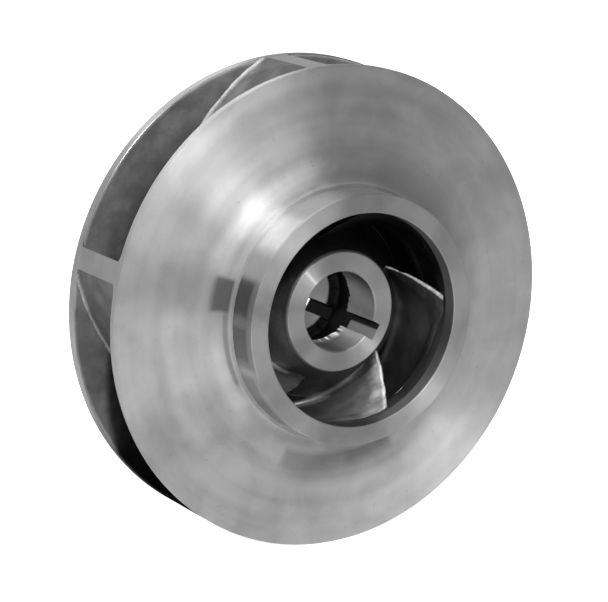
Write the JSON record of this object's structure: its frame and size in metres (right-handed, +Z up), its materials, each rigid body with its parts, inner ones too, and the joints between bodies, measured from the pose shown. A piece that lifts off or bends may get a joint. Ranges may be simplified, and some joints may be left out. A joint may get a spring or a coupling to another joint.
{
  "type": "closed pump impeller",
  "caption": "Closed centrifugal pump impeller with backward-curved vanes between two shrouds, a raised eye ring and a keyed hub bore.",
  "frame": {"origin": "on the axis of rotation, halfway between the front face of the eye ring and the rear face of the hub", "axes": "+Y along the axis of rotation from the eye towards the back, +Z up as the impeller stands on its rim, +X to the right seen from the eye"},
  "size_m": [0.3, 0.108, 0.2998],
  "materials": {
    "turned_steel": "fine turned, satin",
    "cast_steel": "as cast, dull and slightly rough"
  },
  "bodies": {
    "root": {"front_shroud": "turned_steel", "eye_ring": "turned_steel", "back_shroud": "turned_steel", "hub": "turned_steel", "vane_1": "cast_steel", "vane_2": "cast_steel", "vane_3": "cast_steel", "vane_4": "cast_steel", "vane_5": "cast_steel"}
  },
  "joints": []
}
